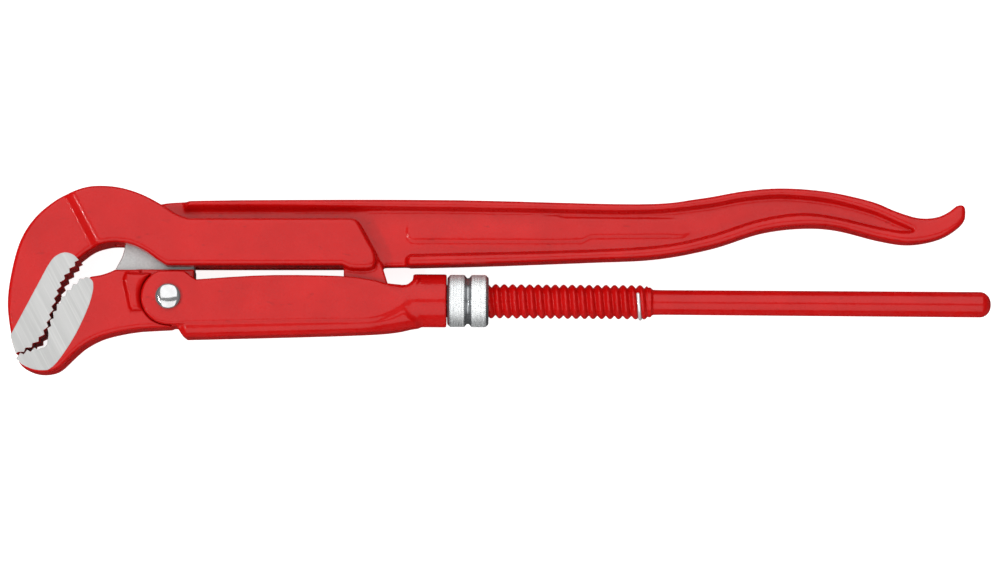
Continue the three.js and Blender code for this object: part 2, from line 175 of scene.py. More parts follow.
def samples(low, high, step):
    """Sample places along X, Y and the upper half of Z, ready to be combined."""
    step *= COARSE
    x, y = (np.arange(low[n], high[n] + step, step, dtype=np.float32) for n in (0, 1))
    z = np.arange(0, high[2] + step, step, dtype=np.float32)
    return x[:, None, None], y[None, :, None], z[None, None, :], step


def inside(points, x, y):
    """Signed distance to a closed outline."""
    nearest = np.full(np.broadcast(x, y).shape, 1e9, np.float32)
    within = np.zeros(nearest.shape, bool)
    for (ax, ay), (bx, by) in zip(points, np.roll(points, -1, axis=0)):
        ex, ey = bx - ax, by - ay
        if ex * ex + ey * ey < 1e-8:
            continue
        t = np.clip(((x - ax) * ex + (y - ay) * ey) / (ex * ex + ey * ey), 0, 1)
        nearest = np.minimum(nearest, (x - ax - t * ex) ** 2 + (y - ay - t * ey) ** 2)
        if ey:
            within ^= ((y < ay) != (y < by)) & (x < ex * (y - ay) / ey + ax)
    distance = np.sqrt(nearest)
    return np.where(within, -distance, distance)


def meet(a, b, radius):
    """What lies in both shapes, with the edge between them rounded."""
    bulge = np.hypot(np.maximum(a + radius, 0), np.maximum(b + radius, 0))
    return np.minimum(-radius, np.maximum(a, b)) + bulge


def join(a, b, radius):
    """Both shapes, with a fillet between them."""
    hollow = np.hypot(np.maximum(radius - a, 0), np.maximum(radius - b, 0))
    return np.maximum(radius, np.minimum(a, b)) - hollow


def cut(a, b, radius):
    """The first shape less the second, with a rounded rim."""
    return meet(a, -b, radius)


def slab(x0, x1, y0, y1, half, x, y, z):
    """A plain block, for slots."""
    middle_x, middle_y = (x0 + x1) / 2, (y0 + y1) / 2
    across = np.maximum(np.abs(x - middle_x) - (x1 - x0) / 2, np.abs(y - middle_y) - (y1 - y0) / 2)
    return np.maximum(across, z - half)


def smoothstep(low, high, value):
    """0 up to low, 1 from high on, and smooth between them; with low above high it falls instead."""
    t = np.clip((value - low) / (high - low), 0, 1)
    return t * t * (3 - 2 * t)


def surface(half_field, low, step):
    """Vertices and quads of a mirrored field's surface: one vertex per crossed cell."""
    field = np.concatenate([half_field[:, :, :0:-1], half_field], axis=2)
    base = np.array([low[0], low[1], -(half_field.shape[2] - 1) * step])
    size = np.array(field.shape) - 1
    cells, places, rings = [], [], []
    for axis in range(3):
        before = [slice(None)] * 3
        after = [slice(None)] * 3
        before[axis], after[axis] = slice(None, -1), slice(1, None)
        a, b = field[tuple(before)], field[tuple(after)]
        crossed = (a < 0) != (b < 0)
        index = np.argwhere(crossed)
        a, b = a[crossed], b[crossed]
        place = index.astype(float)
        place[:, axis] += a / (a - b)
        u, v = (axis + 1) % 3, (axis + 2) % 3
        ring = []
        for du, dv in ((0, 0), (-1, 0), (-1, -1), (0, -1)):
            cell = index.copy()
            cell[:, u] += du
            cell[:, v] += dv
            ring.append((cell[:, 0] * size[1] + cell[:, 1]) * size[2] + cell[:, 2])
            places.append(place)
        cells += ring
        ring = np.column_stack(ring)
        rings.append(np.where((a < 0)[:, None], ring, ring[:, ::-1]))
    used, which = np.unique(np.concatenate(cells), return_inverse=True)
    places = np.vstack(places)
    count = np.bincount(which)
    vertices = np.column_stack([np.bincount(which, places[:, n]) / count for n in range(3)])
    quads = np.searchsorted(used, np.vstack(rings))
    return base + vertices * step, quads.tolist()


# ---- turning data into pieces -----------------------------------------------------------------


def linked(name, data):
    """A new object in the scene."""
    made = bpy.data.objects.new(name, data)
    bpy.context.scene.collection.objects.link(made)
    return made


def piece(name, vertices, faces, place, body, material, stands_for=()):
    """A smooth mesh object that rides on a body, with the CAD nodes that it stands for."""
    mesh = bpy.data.meshes.new(name)
    mesh.from_pydata(vertices.tolist(), [], faces)
    mesh.transform(place)
    mesh.polygons.foreach_set("use_smooth", [True] * len(mesh.polygons))
    mesh.materials.append(material)
    made = linked(name, mesh)
    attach(made, body)
    if stands_for:
        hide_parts(*stands_for)
    return made


def apply_modifiers(made):
    """Bakes an object's modifiers into its mesh."""
    graph = bpy.context.evaluated_depsgraph_get()
    mesh = bpy.data.meshes.new_from_object(made.evaluated_get(graph))
    made.modifiers.clear()
    made.data = mesh


def lighten(made, ratio):
    """Thins the mesh where it is flat."""
    thin = made.modifiers.new("thin", "DECIMATE")
    thin.ratio = ratio
    apply_modifiers(made)


def prism(name, points, half, body, caps, walls):
    """A crisp extruded block whose edges are just broken, with one material on its two faces."""
    shape = bmesh.new()
    face = shape.faces.new([shape.verts.new((x, y, -half)) for x, y in points])
    grown = bmesh.ops.extrude_face_region(shape, geom=[face])["geom"]
    for vertex in grown:
        if isinstance(vertex, bmesh.types.BMVert):
            vertex.co.z = half
    bmesh.ops.recalc_face_normals(shape, faces=shape.faces)
    for each in shape.faces:
        each.material_index = 0 if abs(each.normal.z) > 0.5 else 1
    mesh = bpy.data.meshes.new(name)
    shape.to_mesh(mesh)
    shape.free()
    for material in (caps, walls):
        mesh.materials.append(material)
    made = linked(name, mesh)
    bevel = made.modifiers.new("edge", "BEVEL")
    bevel.width = BROKEN_EDGE
    bevel.segments = 2
    bevel.limit_method = "ANGLE"
    bevel.angle_limit = math.radians(35)
    apply_modifiers(made)
    made.data.transform(DRAWING)
    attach(made, body)


def around(rows, segments, closed=False):
    """Quads between rows of points that go once around an axis; without closed, two caps as well."""
    i, j = np.meshgrid(np.arange(rows if closed else rows - 1), np.arange(segments), indexing="ij")
    i, j = i.ravel(), j.ravel()
    next_i, next_j = (i + 1) % rows, (j + 1) % segments
    corners = i * segments + j, next_i * segments + j, next_i * segments + next_j, i * segments + next_j
    quads = np.column_stack(corners)[:, ::-1].tolist()
    if closed:
        return quads
    last = (rows - 1) * segments
    return quads + [list(range(segments))[::-1], list(range(last, last + segments))]


def around_x(stations, radii):
    """Points at stations along X and radii from it, one row per station."""
    stations, radii = np.broadcast_arrays(stations, radii)
    turn = 2 * math.pi * np.arange(radii.shape[1]) / radii.shape[1]
    points = np.stack([stations, radii * np.cos(turn), radii * np.sin(turn)], axis=-1)
    return points.reshape(-1, 3)


def turned(name, profile, segments, place, body, material, stands_for):
    """A solid of revolution about X, from [x, radius] points."""
    profile = np.array(profile)
    vertices = around_x(profile[:, :1], np.repeat(profile[:, 1:], segments, axis=1))
    piece(name, vertices, around(len(profile), segments), place, body, material, stands_for)


def rounded(profile, radius, steps=4):
    """A lathe profile with its inner corners rounded."""
    out = [profile[0]]
    for before, corner, after in zip(profile, profile[1:], profile[2:]):
        before, corner, after = (np.array(p, float) for p in (before, corner, after))
        back, ahead = before - corner, after - corner
        reach = min(radius, np.hypot(*back) * 0.45, np.hypot(*ahead) * 0.45)
        start = corner + back / np.hypot(*back) * reach
        end = corner + ahead / np.hypot(*ahead) * reach
        for t in np.linspace(0, 1, steps + 1):
            out.append(tuple((1 - t) ** 2 * start + 2 * t * (1 - t) * corner + t * t * end))
    return out + [profile[-1]]


# ---- finishes ----------------------------------------------------------------------------------


class Finish:
    """A node material, with short calls for the patterns that it is made of."""

    def __init__(self, name, roughness, metallic):
        self.material = bpy.data.materials.new(name)
        self.material.use_nodes = True
        self.nodes = self.material.node_tree.nodes
        self.links = self.material.node_tree.links
        self.shader = self.nodes["Principled BSDF"]
        self.shader.inputs["Metallic"].default_value = metallic
        self.shader.inputs["Roughness"].default_value = roughness
        self.place = self.nodes.new("ShaderNodeTexCoord").outputs["Object"]

    def socket(self, name, value):
        """One constant of the shader."""
        self.shader.inputs[name].default_value = value

    def noise(self, scale, detail=3.0, stretch=(1, 1, 1), turn=0.0):
        """Noise of so many lumps per metre, drawn out along axes that are turned about Z."""
        mapping = self.nodes.new("ShaderNodeMapping")
        mapping.vector_type = "TEXTURE"
        mapping.inputs["Rotation"].default_value = (0, 0, turn)
        mapping.inputs["Scale"].default_value = stretch
        self.links.new(self.place, mapping.inputs["Vector"])
        texture = self.nodes.new("ShaderNodeTexNoise")
        texture.inputs["Scale"].default_value = scale
        texture.inputs["Detail"].default_value = detail
        self.links.new(mapping.outputs["Vector"], texture.inputs["Vector"])
        return texture.outputs["Fac"]

    def ramp(self, value, low, high, start, end):
        """Two colours between two values."""
        ramp = self.nodes.new("ShaderNodeValToRGB")
        ramp.color_ramp.elements[0].position = low
        ramp.color_ramp.elements[0].color = (*start, 1)
        ramp.color_ramp.elements[1].position = high
        ramp.color_ramp.elements[1].color = (*end, 1)
        self.links.new(value, ramp.inputs["Fac"])
        return ramp.outputs["Color"]

    def range(self, value, low, high, start, end):
        """A value mapped from one range to another."""
        mapped = self.nodes.new("ShaderNodeMapRange")
        for socket, number in zip(mapped.inputs[1:5], (low, high, start, end)):
            socket.default_value = number
        self.links.new(value, mapped.inputs["Value"])
        return mapped.outputs["Result"]

    def mix(self, share, first, second):
        """One colour over another."""
        mix = self.nodes.new("ShaderNodeMix")
        mix.data_type = "RGBA"
        self.links.new(share, mix.inputs[0])
        for socket, colour in ((mix.inputs[6], first), (mix.inputs[7], second)):
            if isinstance(colour, tuple):
                socket.default_value = (*colour, 1)
            else:
                self.links.new(colour, socket)
        return mix.outputs[2]

    def bumps(self, *layers):
        """Bump layers: each a pattern, its depth in metres and its strength."""
        normal = None
        for pattern, depth, strength in layers:
            bump = self.nodes.new("ShaderNodeBump")
            bump.inputs["Distance"].default_value = depth
            bump.inputs["Strength"].default_value = strength
            self.links.new(pattern, bump.inputs["Height"])
            if normal:
                self.links.new(normal, bump.inputs["Normal"])
            normal = bump.outputs["Normal"]
        self.links.new(normal, self.shader.inputs["Normal"])

    def colour(self, socket):
        """The pattern that colours the surface."""
        self.links.new(socket, self.shader.inputs["Base Color"])

    def roughness(self, socket):
        """The pattern that dulls it."""
        self.links.new(socket, self.shader.inputs["Roughness"])


def red_coat():
    """Glossy powder coat over a forging: slightly uneven, with fine orange peel and a few pits."""
    f = Finish("red_powder_coat", 0.28, 0.0)
    mottled = f.ramp(f.noise(70, 5), 0.3, 0.72, (0.43, 0.0024, 0.0021), (0.50, 0.004, 0.0036))
    pits = f.range(f.noise(420, 1, (2.5, 1, 1)), 0.70, 0.80, 0, 1)
    f.colour(f.mix(pits, mottled, (0.37, 0.0016, 0.0016)))
    f.roughness(f.range(f.noise(240, 3), 0.35, 0.7, 0.24, 0.36))
    f.bumps(
        (f.noise(70, 2), 0.0005, 0.2),
        (f.noise(480, 2), 0.00006, 0.3),
        (pits, -0.0001, 0.12),
    )
    f.socket("Specular IOR Level", 0.12)
    f.socket("Coat Weight", 0.26)
    f.socket("Coat Roughness", 0.07)
    return f.material


GRIND_ANGLE = math.radians(-62)  # the way the grinding streaks run across the flanks


def ground_steel():
    """Flanks ground with a coarse wheel: parallel streaks of many widths, a few of them deeper."""
    f = Finish("ground_steel", 0.4, 0.9)
    fine = f.noise(2600, 3, (40, 1, 40), GRIND_ANGLE)
    streak = f.noise(1500, 4, (60, 1, 60), GRIND_ANGLE)
    broad = f.noise(260, 2, (20, 1, 20), GRIND_ANGLE)
    base = f.ramp(broad, 0.35, 0.65, (0.37, 0.37, 0.365), (0.41, 0.41, 0.405))
    f.colour(f.mix(f.range(streak, 0.52, 0.70, 0, 0.6), base, (0.52, 0.52, 0.51)))
    f.roughness(f.range(streak, 0.3, 0.7, 0.36, 0.5))
    f.bumps((streak, 0.00003, 0.35), (fine, 0.00001, 0.5))
    return f.material


def tongue_steel():
    """Bare rolled plate, satin, with a fine grain along the tool."""
    f = Finish("bare_plate_steel", 0.5, 0.8)
    grain = f.noise(1800, 4, (2.5, 1, 2.5))
    f.colour(f.ramp(f.noise(1200, 5), 0.3, 0.7, (0.35, 0.352, 0.35), (0.43, 0.432, 0.43)))
    f.roughness(f.range(grain, 0.3, 0.7, 0.42, 0.58))
    f.bumps((grain, 0.00004, 0.6))
    return f.material


def polished_steel():
    """The rivet's dome: bright, with faint ripples."""
    f = Finish("polished_rivet_steel", 0.1, 0.8)
    f.colour(f.ramp(f.noise(300, 3), 0.3, 0.7, (0.45, 0.45, 0.45), (0.54, 0.54, 0.55)))
    f.roughness(f.range(f.noise(700, 3), 0.3, 0.7, 0.06, 0.14))
    f.bumps((f.noise(500, 2), 0.00002, 0.3))
    return f.material


def zinc_plating():
    """Bright zinc on the knurled nut, a little duller in places."""
    f = Finish("bright_zinc_plating", 0.25, 0.55)
    f.colour(f.ramp(f.noise(160, 4), 0.35, 0.7, (0.72, 0.74, 0.75), (0.81, 0.82, 0.82)))
    f.roughness(f.range(f.noise(500, 3), 0.3, 0.7, 0.20, 0.34))
    f.bumps((f.noise(1200, 2), 0.00002, 0.4))
    return f.material


def zinc_with_painted_shade():
    """The same plating, painted darker as shade where it lies low: in the knurl, the groove and the chamfers.
    """
    f = Finish("zinc_painted_dark_in_the_knurl", 0.3, 0.8)
    f.colour(f.ramp(f.noise(300, 4), 0.35, 0.7, (0.26, 0.27, 0.28), (0.34, 0.35, 0.36)))
    f.roughness(f.range(f.noise(500, 3), 0.3, 0.7, 0.20, 0.34))
    f.bumps((f.noise(1200, 2), 0.00002, 0.4))
    return f.material


def spring_wire():
    """Bright drawn wire for the stop ring."""
    f = Finish("spring_wire", 0.2, 0.5)
    f.colour(f.ramp(f.noise(400, 3), 0.3, 0.7, (0.82, 0.83, 0.84), (0.92, 0.93, 0.94)))
    f.roughness(f.range(f.noise(900, 3), 0.3, 0.7, 0.14, 0.26))
    f.bumps((f.noise(1500, 2), 0.00001, 0.4))
    return f.material


RED = red_coat()
GROUND = ground_steel()
TONGUE = tongue_steel()
POLISHED = polished_steel()
ZINC = zinc_plating()
# a darker copy of the zinc: painted shade for the nut's low faces
PAINTED_SHADE_ZINC = zinc_with_painted_shade()
WIRE = spring_wire()

# ---- upper leg ---------------------------------------------------------------------------------

HOOK_FACE = spline(
    [(-40, 14.9), (-45.6, 7.5), (-48.6, -0.4), (-50.7, -7.6), (-53.2, -14.8), (-57.5, -19.8), (-63.7, -23.6)],
    120,
)
HOOK_BACK = spline(
    [
        (-64.7, -24.3),
        (-66.9, -17),
        (-68.8, -3),
        (-67.3, 11),
        (-63.6, 24.6),
        (-57.4, 34.4),
        (-48.9, 41.7),
        (-42.4, 45),
    ],
    40,
)
BOX_TOP = spline(
    [(-42.4, 45), (-36, 47.18), (-29.5, 47.86), (-21, 47.08), (-12, 44.3), (-4, 40.2), (2.5, 36), (8, 33.8)],
    32,
)
THROAT = spline(
    [
        (-40, 14.9),
        (-37.4, 17.2),
        (-33, 20.4),
        (-28, 22.4),
        (-22.5, 23),
        (-16.5, 22.2),
        (-10.5, 19.5),
        (-5, 15.6),
        (-1, ARM_UNDERSIDE),
    ],
    40,
)
LUG_FRONT = 74.4
LUG_BOTTOM = -10.0
FACES_KEPT = 0.62  # share of the upper leg's faces that is left after thinning
STEP_FOOT = ((-45.3, 44.3), (-33.0, 21.1))  # where the box's chamfer meets the jaw
STEP_WIDTH = 4.2


def head_outline():
    """Hook jaw and guide box together, kept a little behind the teeth, which are a block of their own."""
    face = beside(HOOK_FACE, -FACE_INSET)[1:-2]
    shoulder = spline([(77, 33.8), (79.9, 33), (81.9, 30.2), (84.9, 24.6), (88, 19)], 12)
    foot = spline(
        [(88, 19), (88.6, 15.5), (87.6, 12.4), (84.5, 11.5), (79, 11.5), (76.2, 12), (74, ARM_UNDERSIDE)],
        14,
    )
    underside = THROAT[::-1][:-1]
    return outline(HOOK_BACK[5:], BOX_TOP[1:], shoulder, foot[1:], underside, face, [(-65.6, -19)])


HANDLE_TOP = spline(
    [
        (-5.5, 40),
        (5, 41.6),
        (60, 42.2),
        (124, 42),
        (200, 40.3),
        (226, 42.6),
        (246, 46),
        (263, 47.1),
        (282, 45.5),
        (300, 41.5),
        (310, 37.5),
        (318, 34.9),
        (323.5, 34.3),
        (328.5, 35),
        (332.7, 36.9),
        (336.5, 39.8),
    ],
    90,
)
HANDLE_BOTTOM = spline(
    [
        (336.5, 39.8),
        (339.2, 39.9),
        (340.3, 37.2),
        (338.8, 31.8),
        (330, 26),
        (317, 23.4),
        (304, 25.1),
        (285, 29.9),
        (270, 30.7),
        (252.6, 28.4),
        (232, 21.9),
        (208, 17.4),
        (180, 16),
        (130, 14.2),
        (84, ARM_UNDERSIDE),
    ],
    90,
)


def recess_outline():
    """The hollow between the handle's two ribs, open below the first stretch and around the box."""
    top = spline(
        [
            (6.5, 37.7),
            (98, 37.7),
            (150, 37),
            (200, 36.2),
            (228, 38.6),
            (246, 41.8),
            (263, 42.9),
            (282, 41),
            (300, 36.4),
            (312, 31.4),
            (317, 29.3),
        ],
        60,
    )
    bottom = spline(
        [
            (317.4, 28.7),
            (311, 28.7),
            (298, 31.4),
            (285, 34.5),
            (270, 36.2),
            (252, 33.6),
            (230, 26.6),
            (208, 22.2),
            (170, 20.2),
            (106, 18.7),
        ],
        60,
    )
    corner = arc(103.4, 16.1, 2.6, 90, 180, 5)
    return outline(top, bottom, corner, [(100.8, 5), (60, 5), (-15, 30), (-15, 55), (5.8, 55), (5.8, 38.6)])


def panel_outline():
    """The raised plain panel on the web."""
    return outline(
        arc(104.5, 27.5, 3.2, 180, 270, 5),
        [(165, 24.2), (176, 24.4), (180, 26.4), (219, 26.6)],
        spline([(219, 26.6), (226, 29), (232, 31.6)], 5),
        [(222, 34.2), (168, 34.6), (165.5, 35.6), (101.3, 35.4)],
    )


def upper_leg():
    """Hook jaw, guide box, ribbed handle and the forked lug that hangs under it; its teeth are a block."""
    low, high = (-70.5, -26, 0), (342.5, 50, 12.6)  # one corner of the field, and the opposite one
    x, y, z, step = samples(low, high, 0.6)
    (fx, fy), (tx, ty) = STEP_FOOT
    length = math.hypot(tx - fx, ty - fy)
    ahead = ((x - fx) * (ty - fy) - (y - fy) * (tx - fx)) / length  # distance in front of the chamfer's foot
    rise = (BOX_HALF - JAW_HALF) / STEP_WIDTH
    chamfer = (ahead + (z - JAW_HALF) / rise) * rise / math.hypot(1, rise)
    top = join(z - JAW_HALF, meet(z - BOX_HALF, chamfer, 0.8), 0.05)
    head = meet(inside(head_outline(), x, y) + DRAFT * z, top, 1.6)

    half = np.interp(x, [280, 318], [RIB_HALF, TAIL_HALF]).astype(np.float32)
    blade = outline(HANDLE_TOP, HANDLE_BOTTOM[1:], [(70, 20), (-4, 30)])
    handle = meet(inside(blade, x, y) + DRAFT * z, z - half, 1.9)
    panel = inside(panel_outline(), x, y)
    fade = (1 - smoothstep(27, 36, y) * smoothstep(170, 150, x)) * smoothstep(226, 210, x)
    start = smoothstep(120, 30, x)
    web = WEB_HALF - START_DEPTH * start + PANEL_RISE * fade * (1 - smoothstep(-0.6, 0.6, panel))
    wall = (RECESS_SLOPE + START_SLOPE * start) * (z - web)
    hollow = meet(inside(recess_outline(), x, y) - wall, web - z, 0.9)
    handle = cut(handle, hollow, 1.3)

    body = join(head, handle, 0.9)
    lug = outline(
        [
            (LUG_FRONT, 20),
            (LUG_FRONT, LUG_BOTTOM),
            (90, LUG_BOTTOM),
            (93.2, -5),
            (93.2, 6),
            (90.5, 14.5),
            (86, 20),
        ]
    )
    stem = slab(-24, 73.6, 0, 28.6, GUIDE_HALF + SLOT_PLAY, x, y, z)
    groove = slab(-17.4, 73.6, 24.2, 28.6, 5.6, x, y, z)
    body = cut(cut(body, stem, 0.3), groove, 0.2)
    body = join(body, meet(inside(lug, x, y), z - LUG_HALF, 0.8), 1.0)
    fork = slab(60, 100, -20, 6, GUIDE_HALF + SLOT_PLAY, x, y, z)
    notch_half = PIN_RADIUS + NOTCH_PLAY
    pin_y = PIN_X * math.tan(LEVER_TILT)
    notch = np.where(y > pin_y, np.hypot(x - PIN_X, y - pin_y), np.abs(x - PIN_X)) - notch_half
    body = cut(cut(body, fork, 0.3), notch, 0.4)
    vertices, quads = surface(body, low, step)
    made = piece("upper_leg_forging", vertices, quads, DRAWING, "upper_leg", RED, ["upper_leg"])
    lighten(made, FACES_KEPT)

    flank = outline(
        teeth(HOOK_FACE, 13, 1),
        [(-64.6, -24.4), (-65.6, -21.6), (-66.7, -17.6), (-67, -16.4)],
        spline(
            [(-53.3, 10), (-51.3, 13.7), (-48.6, 17.2), (-44.7, 19.0), (-40.8, 18.1), (-38.3, 15.7)],
            18,
        ),
    )
    prism("hook_ground_teeth", flank, JAW_HALF + GROUND_PROUD, "upper_leg", GROUND, RED)


# ---- lower jaw ---------------------------------------------------------------------------------

JAW_FACE = spline([(-36.2, 7.7), (-41.7, 2.8), (-45.8, -2.6), (-48.7, -9), (-50.8, -16)], 80)
NOSE_FACE = spline([(-55.4, -22.6), (-59.6, -23.9), (-64.1, -25.9)], 40)
JAW_POCKET = arc(-53.4, -19.6, 2.1, 0, -115, 6)
JAW_BELLY = spline(
    [
        (-64.6, -26.6),
        (-62.4, -29.4),
        (-59, -31.38),
        (-54.5, -32.36),
        (-49.5, -31.8),
        (-45.7, -29.8),
        (-40, -24.3),
        (-35.5, -20.6),
        (-28.7, -17.1),
        (-20.2, -14.9),
        (-12.5, -13.7),
    ],
    48,
)
JAW_TOP = 12.0


def lower_jaw():
    """The short jaw on the rivet, slotted for the tongue, with a raised pad in front of the cheeks."""
    low, high = (-66, -34, 0), (12, 14, 12)
    x, y, z, step = samples(low, high, 0.5)
    throat = spline([(-23, JAW_TOP), (-25.1, 11), (-29, 9.7), (-33.5, 9)], 8)
    face = beside(JAW_FACE, FACE_INSET)[1:-1]
    nose = beside(NOSE_FACE, FACE_INSET)[1:-2]
    rear = [(-5, -13.3), (1.3, -13.0), (1.3, -8), (-10, -5), (-12, JAW_TOP)]
    head = outline(JAW_BELLY[2:], rear, throat, face, [(-51.2, -21.6)], nose)
    jaw = meet(inside(head, x, y) + DRAFT * z, z - JAW_HALF, 1.5)
    pad_round = CHEEK_ROUND + 0.45
    pad = outline(
        [(-18.6, 10.7), (-19.8, 7.2), (-17.1, -4.8), (-15.8, -6.6)],
        arc(0, 0, pad_round, 212, 123, 14),
    )
    jaw = join(jaw, meet(inside(pad, x, y) + 0.1 * z - 0.6, z - CHEEK_HALF + 0.1, 1.9), 0.4)
    jaw = cut(jaw, np.hypot(x, y) - pad_round, 0.5)  # the cheeks' seat
    tail = outline(
        [(-14, -13.5), (3.4, -12.3)],
        arc(5.6, -7.3, 5, -70, 0, 6),
        [(10.6, JAW_TOP), (-14, JAW_TOP)],
    )
    jaw = join(jaw, meet(inside(tail, x, y), z - LUG_HALF, 0.6), 0.5)
    jaw = cut(jaw, slab(-25.4, 20, -8.5, 20, GUIDE_HALF + JAW_SLOT_PLAY, x, y, z), 0.25)
    jaw = cut(jaw, np.hypot(x, y) - RIVET_BORE, 0.2)
    vertices, quads = surface(jaw, low, step)
    piece("lower_jaw_forging", vertices, quads, DRAWING, "lower_jaw", RED, ["lower_jaw"])

    flank = outline(
        teeth(JAW_FACE, 8, -1),
        JAW_POCKET[1:-1],
        teeth(NOSE_FACE, 3, -1),
        spline([(-64.4, -26.4), (-62.2, -28.7), (-58.6, -30.5), (-54.6, -31.4), (-51, -31.3)], 8),
        spline(
            [(-51, -31.3), (-47.2, -28.2), (-41.2, -19.4), (-37, -11.4), (-33.4, -2.6), (-32, 3.4)],
            14,
        )[1:],
        spline([(-32, 3.4), (-32.2, 6.4), (-33.8, 8.1), (-35.4, 8.4)], 8)[1:],
    )
    prism("jaw_ground_teeth", flank, JAW_HALF + GROUND_PROUD, "lower_jaw", GROUND, RED)


def guide_tongue():
    """A plate that rises from the rivet into the guide box, and ends in a wider head."""
    low, high = (-27, -10, 0), (13, 30, 7)
    x, y, z, step = samples(low, high, 0.4)
    front = spline([(-25, 8.4), (-23, 13), (-20.6, 17.6), (-19.4, 22), (-19, 26)], 12)
    stem = outline(front, [(-18, 28.2), (10.6, 28.2), (10.6, 0)], arc(0, 0, 8, 0, -150, 20))
    plate = meet(inside(stem, x, y), z - GUIDE_HALF, 0.3)
    head = slab(-17, 10.6, 24.6, 28.2, 5.2, x, y, z)
    plate = cut(np.minimum(plate, head), np.hypot(x, y) - RIVET_BORE, 0.2)
    vertices, quads = surface(plate, low, step)
    piece("guide_tongue_plate", vertices, quads, DRAWING, "lower_jaw", TONGUE, ["guide_tongue"])


UPRIGHT = Matrix.Rotation(-math.pi / 2, 4, "Y")  # carries the X axis onto Z


def jaw_rivet():
    """A shank with a domed head on the near side and a countersunk one on the far side."""
    seat = CHEEK_HALF + 0.3
    dome = [
        (seat + 0.5 + 1.7 * math.sin(a), 0.25 + 5.2 * math.cos(a))
        for a in np.linspace(0, math.pi / 2, 12)
    ]
    far_head = [(-10.98, 0.3), (-10.98, 5.5), (-9.4, RIVET_RADIUS)]
    near_head = [(seat, RIVET_RADIUS), (seat, 5.45), dome[0]]
    profile = rounded(far_head + near_head, 0.25) + dome[1:]
    place = DRAWING @ UPRIGHT
    turned("jaw_rivet_steel", profile, 64, place, "lower_jaw", POLISHED, ["jaw_rivet"])


# ---- guide sleeve ------------------------------------------------------------------------------

SHOULDER_HALF = 10.2  # the sleeve below its cheeks
SHOULDER_LINE = (  # x, and the y at which the cheeks end
    (-13, 3.2, 3.3, 8, 66, 88, 96, 102, 107, 118),
    (-30, -30, -11.9, -11.3, -9.8, -9.6, -9.4, -7.6, -6.2, -5.6),
)


def guide_sleeve():
    """A channel with two round cheeks in front and a socket behind, in which the nut turns."""
    low, high = (-13, -19, 0), (120, 13, 12.6)
    x, y, z, step = samples(low, high, 0.5)
    flat_start = math.degrees(math.acos(-3.9 / CHEEK_ROUND))
    belly = spline([(7.2, -17.1), (36, -16.2), (66, -15.2), (84, -14.4), (97, -13.4), (106, -11.4)], 24)
    brow = spline([(101.8, 5.7), (93.3, 6.2), (86, 7.6), (73, 9.1), (41.4, 9.2), (11.5, 7.2)], 18)
    side = outline(
        arc(0, 0, CHEEK_ROUND, flat_start, 272, 40),
        [(3.3, -11.9), (5.5, -15.7)],
        belly,
        [(106, 8), (103.3, 6.4)],
        brow,
        [(6.4, 10.9)],
    )
    profile = inside(side, x, y)
    spine = smoothstep(-8.0, -12.5, y) * smoothstep(3, 6, x)
    rear = smoothstep(84, 104, x) * smoothstep(13, 0, y)
    shoulder = SHOULDER_HALF + (CHEEK_HALF - SHOULDER_HALF) * smoothstep(76, 96, x)
    shell = meet(profile, z - shoulder, (0.8 + 3.4 * spine * (1 - rear) + 6.6 * rear).astype(np.float32))
    ridge = np.interp(x, *SHOULDER_LINE).astype(np.float32)
    cheek = meet(meet(profile, ridge - y, 0.8), z - CHEEK_HALF, 0.8 + 6.4 * rear)
    body = join(shell, cheek, 0.9)
    radius = np.hypot(y, z)
    taper = SOCKET_TAPER * smoothstep(SOCKET_START + 1, SOCKET_START - 10, x)
    reach = SOCKET_REACH * smoothstep(8.5, 0, y)  # above the cheeks the socket's end is square
    front = SOCKET_START - 0.6 - reach - x
    socket = meet(radius - SOCKET_RADIUS + taper, np.maximum(front, x - SOCKET_END), 0.5)
    body = join(body, socket, 2.0)
    channel = outline([(-20, -13.5), (7.2, -13.5), (94, -9.9), (100, -6), (100, 30), (-20, 30)])
    body = cut(body, meet(inside(channel, x, y), z - CHANNEL_HALF, 1.5), 0.5)
    bore = np.maximum(radius - SOCKET_BORE, np.maximum(92 - x, x - 130))
    body = cut(body, bore, 0.5)
    body = cut(body, np.hypot(x, y) - RIVET_BORE, 0.2)
    vertices, quads = surface(body, low, step)
    piece("guide_sleeve_channel", vertices, quads, LEVER, "guide_sleeve", RED, ["guide_sleeve"])


# ---- lower leg, its pin and its ring -------------------------------------------------------------


def thread_radius(x, turn, mean):
    """Radius of the right-hand thread at x and at a share of a turn from +Y towards +Z."""
    crest = np.cos(2 * math.pi * ((x - THREAD_PHASE) / THREAD_PITCH - turn))
    return mean + THREAD_WAVE * (2 * ((1 + crest) / 2) ** 0.55 - 1)


